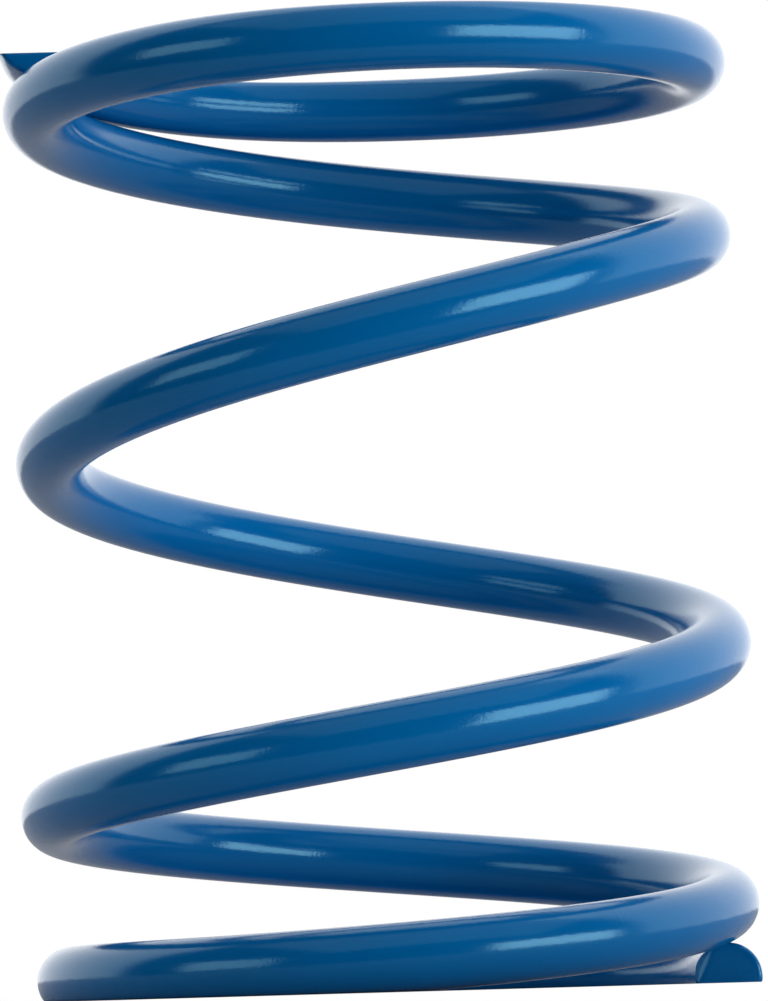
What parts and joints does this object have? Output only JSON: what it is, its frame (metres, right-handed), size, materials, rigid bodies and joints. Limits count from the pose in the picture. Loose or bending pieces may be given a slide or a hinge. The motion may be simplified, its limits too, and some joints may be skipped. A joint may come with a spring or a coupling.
{
  "type": "compression spring",
  "caption": "Round-wire helical compression spring with closed, ground ends and a glossy blue coating, for a guide hole or rod.",
  "frame": {"origin": "centre of the ground bottom face, on the coil's axis", "axes": "+Z along the coil's axis from the bottom face to the top face, +X towards the lower wire end"},
  "size_m": [0.0494, 0.049, 0.064],
  "materials": {
    "blue_coating": "glossy deep blue baked coating over spring steel, slightly wavy, rounded over at the cut and ground edges"
  },
  "bodies": {
    "root": {"spring": "blue_coating"}
  },
  "joints": []
}
